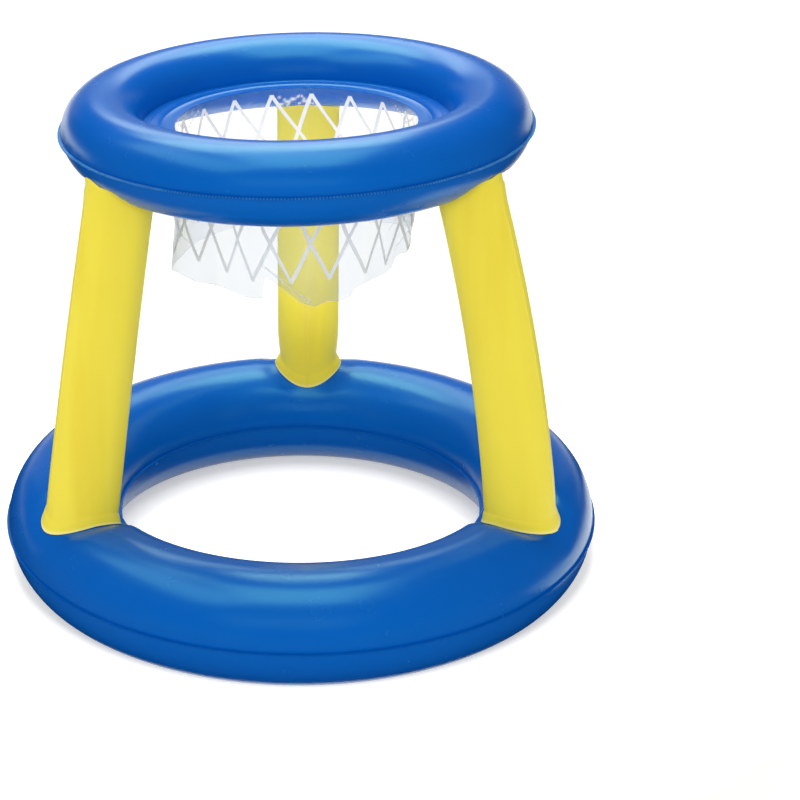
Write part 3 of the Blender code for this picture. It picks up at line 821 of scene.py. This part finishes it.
# Crumpled spots: direction, first and last depth, spread in degrees and size
CRUMPLES = ((183, 40, 84, 9, 1.6), (2, 40, 96, 10, 1.4), (90, 1, 15, 5, 1.1))
CRUMPLE_SEED = 7
CRUMPLE_WAVES = 4
CREASE_DEPTH = 0.8 * MM
# Folds round the skirt: height in millimetres, how many go round and the angle they start at; those at
# the front alone also have the direction of their middle and their spread
FOLDS = ((2.6, 9, 1.1), (1.6, 5, 2.0))
FRONT_FOLDS = (2.2, 14, 0.4, 285.0, 60.0)
# How far the whole skirt hangs over, in millimetres, and to which direction, and how far it spreads or is
# drawn in at its left and right, with the middle and the width of each
HANGS_OVER = (3.6, 195.0)
SPREADS = ((-4.2, 330.0, 40.0), (5.5, 188.0, 18.0))
# The long crease at the front: its direction at the hem, how far it runs round in degrees and rises in
# millimetres, and how far the film steps in above it
LONG_CREASE = (283.0, -24.0, 41.0, 5.0)
# Where the film is rucked up at the left of the front: share of its depth, direction and width
RUCK = (0.075, 222.0, 16.0)
# Painted highlight along the cut hem: how bright it shows, as a crease's strength
HEM_SHINE = 0.45


def creased(degrees, depth):
    """How sharply the film is creased at a place, from 0 to 1."""
    arc = math.tau * HOOP_OPENING / MM / 360.0
    most = np.zeros(len(degrees))
    for way_a, depth_a, way_b, depth_b, half, strength in CREASES:
        long, tall = (way_b - way_a) * arc, depth_b - depth_a
        x, y = apart(degrees, way_a) * arc, depth / MM - depth_a
        along = np.clip((x * long + y * tall) / (long**2 + tall**2), 0.0, 1.0)
        away = np.hypot(x - along * long, y - along * tall)
        most = np.maximum(most, strength * bell(away, half))
    return most


def round_table(table, degrees):
    """Values of a table round the circle, blended between its directions."""
    ways = np.array([row[0] for row in table], float)
    values = np.array([row[1] for row in table], float)
    ways = np.concatenate([ways, [ways[0] + 360.0]])
    values = np.concatenate([values, [values[0]]])
    return np.interp(degrees % 360.0, ways, values)


def net_points(degrees, share):
    """Where a point of the film hangs, in the hoop ring's own place."""
    hem = round_table(HEM, degrees) * MM
    depth = hem * share
    slip = round_table(SLIP, degrees) * step(0.0, 0.6, share)
    way = np.radians(degrees + slip)
    hang = share**1.6
    folds = sum(high * np.cos(np.radians(count * degrees) + start) for high, count, start in FOLDS)
    high, count, start, middle, wide = FRONT_FOLDS
    folds += high * np.cos(np.radians(count * degrees) + start) * bell(apart(degrees, middle), wide)
    lean, lean_way = HANGS_OVER
    flare = lean * np.cos(np.radians(apart(degrees, lean_way)))
    for spread, middle, wide in SPREADS:
        flare += spread * bell(apart(degrees, middle), wide)
    radius = HOOP_OPENING - SKIRT_INSET + hang * (folds * 0.75 + flare) * MM
    # The long crease runs up and to the left from the hem at the front, and fades out at both ends
    crease_way, run, climb, inset = LONG_CREASE
    along = apart(degrees, crease_way) / run
    line = hem - along * climb * MM
    below = np.clip((depth - line) / (14.0 * MM), -1.0, 1.0)
    fold = bell(along - 0.5, 0.75) * step(-0.15, 0.15, along) * step(-1.25, -0.95, -along)
    radius -= fold * inset * MM * step(0.0, 1.0, below)
    # Crumples at the left, right and rear, and the sharp creases
    rng = np.random.default_rng(CRUMPLE_SEED)
    for spot, low, high, wide, size in CRUMPLES:
        mask = bell(apart(degrees, spot), wide) * step(low - 8, low + 4, depth / MM)
        mask *= step(-high - 8, -high + 4, -depth / MM)
        for _ in range(CRUMPLE_WAVES):
            across, down, start = rng.uniform(0.3, 1.0), rng.uniform(-0.12, 0.12), rng.uniform(0, 6)
            wave = np.sin(across * apart(degrees, spot) + down * depth / MM + start)
            radius += mask * (np.abs(wave) - 0.6) * size * MM
    radius += CREASE_DEPTH * creased(degrees, depth) * step(0.0, 6.0, depth / MM)
    lifted, middle, wide = RUCK
    level = -depth * (1.0 - lifted * bell(apart(degrees, middle), wide))
    return np.stack([radius * np.cos(way), radius * np.sin(way), level], axis=1)


def build_net():
    """The net's film: a flange welded under the web, and a skirt that hangs from it."""
    angle = 360.0 * np.arange(NET_COLUMNS) / NET_COLUMNS
    way = np.radians(angle)
    hem = round_table(HEM, angle) * MM
    # The last row lies close above the hem, so that the cut edge alone shines, with a painted highlight
    skirt = np.append(np.linspace(0.0, 0.992, NET_ROWS) ** 0.9, 1.0)
    rows = []
    for radius in (NET_FLANGE, FLANGE_MIDDLE, HOOP_OPENING + SKIRT_INSET):
        level = np.full(NET_COLUMNS, -SEAM_LEVEL)
        circle = np.stack([radius * np.cos(way), radius * np.sin(way), level], axis=1)
        rows.append((circle, np.full(NET_COLUMNS, HOOP_OPENING - radius)))
    for share in skirt:
        spots = net_points(angle, np.full(NET_COLUMNS, share))
        spots[:, 2] = np.minimum(spots[:, 2], -SEAM_LEVEL - 0.2 * MM * (share == 0.0))
        rows.append((spots, hem * share))
    points = np.concatenate([row[0] for row in rows])
    depths = np.concatenate([row[1] for row in rows])
    faces = []
    for start in range(0, NET_COLUMNS * (len(rows) - 1), NET_COLUMNS):
        for j in range(NET_COLUMNS):
            here, beside = start + j, start + (j + 1) % NET_COLUMNS
            faces.append((here, here + NET_COLUMNS, beside + NET_COLUMNS, beside))
    mesh = bpy.data.meshes.new("net_film")
    mesh.from_pydata([tuple(p) for p in points], [], faces)
    net = bpy.data.objects.new("net_film", mesh)
    bpy.context.scene.collection.objects.link(net)
    layer = mesh.uv_layers.new(name="net_print")
    for face in mesh.polygons:
        columns = [v % NET_COLUMNS for v in face.vertices]
        wraps = max(columns) - min(columns) > 1
        for loop, column, vertex in zip(face.loop_indices, columns, face.vertices):
            if wraps and column == 0:
                column = NET_COLUMNS
            layer.data[loop].uv = (column / NET_COLUMNS - STRAND_PHASE / 360.0, depths[vertex])
    # Pale crease lines: partly the film's whitening, partly painted glint and shade
    crease = creased(np.tile(angle, len(rows)), depths)
    # A painted highlight along the cut hem
    crease[-NET_COLUMNS:] = HEM_SHINE
    add_mask(net, "crease", crease)
    set_in_place(net, ring_place(HOOP))
    give_wall(net, NET_FILM)
    smooth_shade(net, 60)
    dress(net, CLEAR, "float", ["net"])


build_net()


# Valves

# Profiles of the valve's turned pieces: radius, and height above the ring's film, in millimetres
COLLAR = (
    (7.6, -3.0), (7.6, 0.6), (7.9, 0.9), (9.6, 0.9), (10.0, 0.6), (10.6, 0.6), (11.2, 0.85), (11.7, 0.6),
    (12.0, 0.2), (12.0, -0.6), (11.9, -1.6),
)
BOOT = (
    (7.2, 0.3), (7.0, 0.0), (6.95, -1.0), (6.6, -3.0), (6.15, -6.0), (5.6, -9.0), (5.15, -10.2), (5.1, -12.0),
)
STEM_TUBE = (
    (3.2, -12.0), (3.2, 0.6), (3.5, 0.9), (5.4, 0.9), (5.75, 0.7), (5.8, 0.3), (5.75, -0.1), (5.4, -0.3),
    (4.5, -0.3), (4.2, -0.6), (4.2, -5.0), (4.2, -11.7), (3.9, -12.0),
)
STOPPER = (
    (1.2, 2.35), (3.6, 2.35), (3.9, 2.6), (5.3, 2.6), (5.65, 2.45), (5.8, 2.15), (5.8, 1.6), (5.6, 1.25),
    (5.3, 1.2), (3.2, 1.2), (3.0, 1.0), (3.05, -0.6), (2.9, -2.0), (2.95, -3.2), (2.7, -5.2), (2.3, -5.8),
)
FLAP_DISC = ((3.6, -12.3), (3.9, -12.35), (4.0, -12.5), (3.9, -12.75), (3.6, -12.8))
# Walls of the boot and the strap, and the strap's width
BOOT_WALL = 0.6 * MM
STRAP_WALL = 0.4 * MM
STRAP_WIDTH = 2.5 * MM


def turned_piece(name, profile, place, capped=False, closed=False):
    """A round piece drawn up from a circle along a profile, capped at both ends or closed on itself."""
    deselect()
    radius, height = profile[0]
    bpy.ops.mesh.primitive_circle_add(
        vertices=VALVE_SIDES, radius=radius * MM, location=(0.0, 0.0, height * MM),
        fill_type="NGON" if capped else "NOTHING",
    )
    piece = bpy.context.object
    piece.name = name
    bpy.ops.object.transform_apply(location=True)
    bpy.ops.object.mode_set(mode="EDIT")
    bpy.ops.mesh.select_all(action="SELECT")
    for start, end in zip(profile, profile[1:]):
        widen_rim(start[0], end[0], (end[1] - start[1]) * MM)
    if capped:
        bpy.ops.mesh.edge_face_add()
    if closed:
        bpy.ops.mesh.select_all(action="DESELECT")
        select_edges(piece, lambda p: True)
        bpy.ops.mesh.bridge_edge_loops()
    bpy.ops.mesh.select_all(action="SELECT")
    bpy.ops.mesh.normals_make_consistent(inside=False)
    bpy.ops.object.mode_set(mode="OBJECT")
    set_in_place(piece, place)
    smooth_shade(piece, 35)
    return piece


def seat_collar(collar, ring, place):
    """Draws the collar's points that would lie inside the ring's tube out on to its film."""
    points = points_of(collar)
    to_ring = ring_place(ring).inverted()
    at_ring = points @ np.array(to_ring.to_3x3()).T + np.array(to_ring.translation)
    away = np.hypot(at_ring[:, 0], at_ring[:, 1])
    from_middle = np.hypot(away - ring.radius, at_ring[:, 2])
    short = np.maximum(ring.tube + 0.3 * MM - from_middle, 0.0)
    outward = np.array(place.to_3x3() @ Vector((0.0, 0.0, 1.0)))
    move_points(collar, points + outward * (short * 1.02)[:, None])


def build_valve(name, ring, place, stem_body, plug_body, flap_body):
    """A push-in valve: a collar on the film, a boot, the stem in it, and the stopper, strap and flap."""
    collar = turned_piece(f"{name}_collar", COLLAR, place)
    seat_collar(collar, ring, place)
    dress(collar, VALVE, "float", [f"{name}_flange"])
    boot = turned_piece(f"{name}_folding_boot", BOOT, place)
    give_wall(boot, BOOT_WALL)
    dress(boot, VALVE, None, [f"{name}_boot"])
    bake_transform(boot)
    stem = turned_piece(f"{name}_stem_tube", STEM_TUBE, place, closed=True)
    dress(stem, VALVE, stem_body, [f"{name}_stem"])
    plug = turned_piece(f"{name}_stopper", STOPPER, place, capped=True)
    dress(plug, VALVE, plug_body, [f"{name}_plug"])
    build_strap(name, place)
    flap = turned_piece(f"{name}_flap_disc", FLAP_DISC, place, capped=True)
    dress(flap, VALVE, flap_body, [f"{name}_check_flap"])


def build_strap(name, place):
    """The stopper's strap: a flat band that loops down from the stopper's disc to the stem's rim."""
    near, middle, half, bends = 6.1, (6.7, 1.4), 0.7, 12
    loop = [(near, middle[1] + half)]
    for i in range(bends + 1):
        angle = math.pi * (0.5 - i / bends)
        loop.append((middle[0] + half * math.cos(angle), middle[1] + half * math.sin(angle)))
    loop.append((near, middle[1] - half))
    deselect()
    bpy.ops.mesh.primitive_plane_add(size=1.0, location=(0.0, 0.0, 0.0))
    strap = bpy.context.object
    strap.name = f"{name}_strap_band"
    bpy.ops.object.mode_set(mode="EDIT")
    mesh = bmesh.from_edit_mesh(strap.data)
    for edge in mesh.edges:
        edge.select_set(abs(edge.verts[0].co.y - edge.verts[1].co.y) < 0.5)
    bmesh.update_edit_mesh(strap.data)
    bpy.ops.mesh.subdivide(number_cuts=3)
    mesh = bmesh.from_edit_mesh(strap.data)
    for vertex in mesh.verts:
        vertex.select_set(False)
    for edge in mesh.edges:
        edge.select_set(abs(edge.verts[0].co.x - edge.verts[1].co.x) < 0.01)
    bmesh.update_edit_mesh(strap.data)
    bpy.ops.mesh.subdivide(number_cuts=len(loop) - 2)
    bpy.ops.object.mode_set(mode="OBJECT")
    points = points_of(strap)
    row = np.rint((points[:, 1] + 0.5) * (len(loop) - 1)).astype(int)
    line = np.array(loop)[row] * MM
    move_points(strap, np.stack([line[:, 0], points[:, 0] * STRAP_WIDTH, line[:, 1]], axis=1))
    give_wall(strap, STRAP_WALL, offset=0.0)
    set_in_place(strap, place)
    smooth_shade(strap, 50)
    dress(strap, VALVE, None, [f"{name}_strap"])
    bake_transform(strap)


build_valve("base_valve", BASE, BASE_VALVE_PLACE, "base_stem", "base_plug", "base_flap")
build_valve("hoop_valve", HOOP, HOOP_VALVE_PLACE, "hoop_stem", "hoop_plug", "hoop_flap")


# Studio

# The black card's openings: directions from the rear, in degrees, between which gloss sees past it. The
# first is in the card on the floor and fades over OPENING_FADE degrees either side of its edges, the
# second is in that card's middle loop, and the third is in the card's wall.
FLOOR_OPENING = (-30.0, 35.0)
OPENING_FADE = 10.0
RIGHT_OPENING = (58.0, 111.0)
WALL_OPENING = (-68.0, 45.0)
# Radii of the card's wall and of the loops of the card on the floor from there inwards, the wall's
# height, and the radius of a disc in the middle
CARD_LOOPS = (2.6, 0.60, 0.34, 0.27)
CARD_HEIGHT = 2.4
CARD_DISC = 0.18
CARD_SIDES = 96
# Above this a point of the card is on its wall
CARD_EDGE = 0.1

# How white the floor shows: each row adds a ramp over a distance, from and to metres, from and to levels.
# The first two paint shadow round the base ring: the first goes out from it, its painted shadow reaching
# SHADOW_SHIFT further at the rear, and the second goes in from it; the other two go out from the middle.
FLOOR_RAMPS = (
    (0.062, 0.078, 0.40, 0.96), (0.03, 0.07, 0.0, 0.54), (0.36, 0.55, 0.0, -0.76), (1.2, 3.0, 0.0, 0.75),
)
SHADOW_SHIFT = 0.05


def build_floor():
    """A white floor that shows pure white to the camera and keeps the object's shadow.

    Its glow is turned down round the base ring, as painted shadow.
    """
    deselect()
    bpy.ops.mesh.primitive_plane_add(size=24.0, location=(0.0, 0.0, -0.1 * MM))
    floor = bpy.context.object
    floor.name = "studio_floor"
    material, tree = new_material("white_painted_floor")
    rays = add_node(tree, "ShaderNodeLightPath").outputs
    place = add_node(tree, "ShaderNodeTexCoord").outputs["Object"]
    away = add_node(tree, "ShaderNodeVectorMath", {0: place}, operation="LENGTH").outputs["Value"]
    shifted = add_node(tree, "ShaderNodeVectorMath", {
        0: place, 1: (0.0, SHADOW_SHIFT, 0.0),
    }, operation="SUBTRACT")
    beyond = add_node(tree, "ShaderNodeVectorMath", {0: shifted}, operation="LENGTH").outputs["Value"]
    outside = add_node(tree, "ShaderNodeMath", {0: beyond, 1: BASE.radius}, operation="SUBTRACT")
    inside = add_node(tree, "ShaderNodeMath", {0: BASE.radius, 1: away}, operation="SUBTRACT")
    level = 0.0
    # The first two ramps paint shadow round the base ring
    for distance, (start, end, low, high) in zip((outside, inside, away, away), FLOOR_RAMPS):
        ramp = add_node(tree, "ShaderNodeMapRange", {
            "Value": distance, "From Min": start, "From Max": end, "To Min": low, "To Max": high,
        })
        level = add_node(tree, "ShaderNodeMath", {0: ramp, 1: level}, operation="ADD")
    paint = add_node(tree, "ShaderNodeBsdfDiffuse", {"Color": linear("#ECE8DC")})
    glow = add_node(tree, "ShaderNodeEmission", {"Color": linear("#FFFFFF"), "Strength": level})
    seen = rays["Is Camera Ray"]
    for kind in ("Is Glossy Ray", "Is Transmission Ray"):
        seen = add_node(tree, "ShaderNodeMath", {0: seen, 1: rays[kind]}, operation="MAXIMUM")
    dark = add_node(tree, "ShaderNodeEmission", {"Strength": 0.0})
    lift = add_node(tree, "ShaderNodeMixShader", {0: seen, 1: dark, 2: glow})
    both = add_node(tree, "ShaderNodeAddShader", {0: paint, 1: lift})
    add_node(tree, "ShaderNodeOutputMaterial", {"Surface": both})
    floor.data.materials.append(material)


def black_flocked_card():
    """Black flocked card, dead black in gloss, with gauze let in at the rear between soft edges."""
    material, tree = new_material("black_flocked_card")
    place = add_node(tree, "ShaderNodeTexCoord").outputs["Object"]
    away = add_node(tree, "ShaderNodeVectorMath", {0: place}, operation="LENGTH").outputs["Value"]
    spot = add_node(tree, "ShaderNodeSeparateXYZ", {"Vector": place}).outputs
    turn = add_node(tree, "ShaderNodeMath", {0: spot["X"], 1: spot["Y"]}, operation="ARCTAN2")
    way = add_node(tree, "ShaderNodeMath", {0: turn}, operation="DEGREES")
    past_ring = add_node(tree, "ShaderNodeMath", {0: away, 1: BASE.radius}, operation="GREATER_THAN")
    on_floor = add_node(tree, "ShaderNodeMath", {0: spot["Z"], 1: CARD_EDGE}, operation="LESS_THAN")
    opened = add_node(tree, "ShaderNodeMath", {0: past_ring, 1: on_floor}, operation="MULTIPLY")
    for edge, fade in zip(FLOOR_OPENING, (OPENING_FADE, -OPENING_FADE)):
        side = add_node(tree, "ShaderNodeMapRange", {
            "Value": way, "From Min": edge - fade, "From Max": edge + fade,
        }, interpolation_type="SMOOTHSTEP")
        opened = add_node(tree, "ShaderNodeMath", {0: opened, 1: side}, operation="MULTIPLY")
    felt = add_node(tree, "ShaderNodeBsdfDiffuse", {"Color": linear("#050505")})
    gauze = add_node(tree, "ShaderNodeBsdfTransparent", {"Color": linear("#FFFFFF")})
    card = add_node(tree, "ShaderNodeMixShader", {0: opened, 1: felt, 2: gauze})
    add_node(tree, "ShaderNodeOutputMaterial", {"Surface": card})
    return material


def build_flags():
    """Black card on the floor and upright round the object, that only gloss picks up."""
    deselect()
    bpy.ops.mesh.primitive_cylinder_add(
        vertices=CARD_SIDES, radius=CARD_LOOPS[0], depth=CARD_HEIGHT, end_fill_type="NOTHING",
        location=(0.0, 0.0, CARD_HEIGHT / 2),
    )
    flags = bpy.context.object
    flags.name = "black_flags"
    bpy.ops.object.transform_apply(location=True)
    bpy.ops.object.mode_set(mode="EDIT")
    select_edges(flags, lambda p: p.z < CARD_EDGE)
    for start, end in zip(CARD_LOOPS, CARD_LOOPS[1:]):
        widen_rim(start, end, 0.0)
    bpy.ops.mesh.primitive_circle_add(vertices=CARD_SIDES, radius=CARD_DISC, fill_type="NGON")
    bpy.ops.mesh.select_all(action="SELECT")
    bpy.ops.transform.translate(value=(0.0, 0.0, 0.3 * MM))
    mesh = bmesh.from_edit_mesh(flags.data)
    cut = []
    for face in mesh.faces:
        middle = face.calc_center_median()
        way = math.degrees(math.atan2(middle.x, middle.y))
        away = math.hypot(middle.x, middle.y)
        in_loop = CARD_LOOPS[2] < away < CARD_LOOPS[1] and RIGHT_OPENING[0] < way < RIGHT_OPENING[1]
        in_wall = middle.z > CARD_EDGE and WALL_OPENING[0] < way < WALL_OPENING[1]
        if in_loop or in_wall:
            cut.append(face)
    bmesh.ops.delete(mesh, geom=cut, context="FACES")
    bmesh.update_edit_mesh(flags.data)
    bpy.ops.object.mode_set(mode="OBJECT")
    flags.data.materials.append(black_flocked_card())
    flags.visible_camera = False
    flags.visible_diffuse = False
    flags.visible_transmission = False
    flags.visible_shadow = False


def build_world():
    """A white studio round the floor; gloss picks up the softboxes and cards alone."""
    world = bpy.data.worlds.new("white_studio")
    bpy.context.scene.world = world
    world.use_nodes = True
    world.cycles_visibility.glossy = False
    tree = world.node_tree
    tree.nodes.clear()
    rays = add_node(tree, "ShaderNodeLightPath").outputs
    seen = add_node(tree, "ShaderNodeMath", {
        0: rays["Is Camera Ray"], 1: rays["Is Transmission Ray"],
    }, operation="MAXIMUM")
    level = add_node(tree, "ShaderNodeMapRange", {"Value": seen, "To Min": 0.56, "To Max": 1.0})
    white = add_node(tree, "ShaderNodeBackground", {"Color": linear("#FFFFFF"), "Strength": level})
    add_node(tree, "ShaderNodeOutputWorld", {"Surface": white})


def add_softbox(name, at, aim, width, height, power, mirrored=True, lights_film=True, spread=180.0):
    """A softbox: mirrored if gloss shows it, and lights_film if it lights more than gloss."""
    light = bpy.data.lights.new(name, "AREA")
    light.shape = "RECTANGLE"
    light.size = width
    light.size_y = height
    light.energy = power
    light.spread = math.radians(spread)
    lamp = bpy.data.objects.new(name, light)
    bpy.context.scene.collection.objects.link(lamp)
    lamp.location = at
    lamp.rotation_euler = (Vector(aim) - Vector(at)).to_track_quat("-Z", "Y").to_euler()
    lamp.visible_glossy = mirrored
    lamp.visible_diffuse = lights_film


# The camera, as fitted to the photograph: its place, its tilt up from straight down and its turn in
# degrees, its focal length on a 36 mm sensor, and its shift
CAMERA_PLACE = (-0.0028, -1.88621, 1.02322)
CAMERA_TILT = 66.2455
CAMERA_TURN = -0.2807
CAMERA_LENS = 94.395
CAMERA_SENSOR = 36.0
CAMERA_SHIFT = (0.12826, -0.02804)


def build_camera():
    lens = bpy.data.cameras.new("photo_camera")
    lens.lens = CAMERA_LENS
    lens.sensor_width = CAMERA_SENSOR
    lens.shift_x, lens.shift_y = CAMERA_SHIFT
    camera = bpy.data.objects.new("photo_camera", lens)
    bpy.context.scene.collection.objects.link(camera)
    camera.location = CAMERA_PLACE
    tilt = Matrix.Rotation(math.radians(CAMERA_TILT), 3, "X")
    camera.rotation_euler = (tilt @ Matrix.Rotation(math.radians(CAMERA_TURN), 3, "Z")).to_euler()
    bpy.context.scene.camera = camera


build_floor()
build_flags()
build_world()
# Each softbox: where it stands and what it faces, its width and height, and its power in watts
add_softbox("overhead_rear_softbox", (-0.20, 0.90, 2.05), (0.0, 0.0, 0.35), 1.45, 0.95, 28.5)
add_softbox("low_rear_softbox", (-0.20, 1.75, 1.62), (0.0, 0.0, 0.45), 1.2, 0.7, 8.5)
add_softbox("front_fill", (-0.2, -2.4, 1.35), (0.0, 0.0, 0.25), 2.2, 0.9, 30.0, mirrored=False)
add_softbox("kicker", (0.0, -0.03, 0.10), (0.0, 0.17, 0.37), 0.25, 0.12, 0.28, mirrored=False, spread=80.0)
add_softbox("overhead_card", (0.0, -0.45, 3.2), (0.0, -0.45, 0.3), 1.8, 2.3, 54.0, lights_film=False)
add_softbox("left_card", (-1.22, -0.33, 2.1), (0.0, 0.0, 0.3), 2.2, 0.8, 15.5, lights_film=False)
add_softbox("low_rear_card", (0.0, 2.4, 0.6), (0.0, 0.0, 0.35), 3.4, 1.0, 2.6, lights_film=False)
build_camera()

bpy.context.scene.view_settings.view_transform = "Standard"
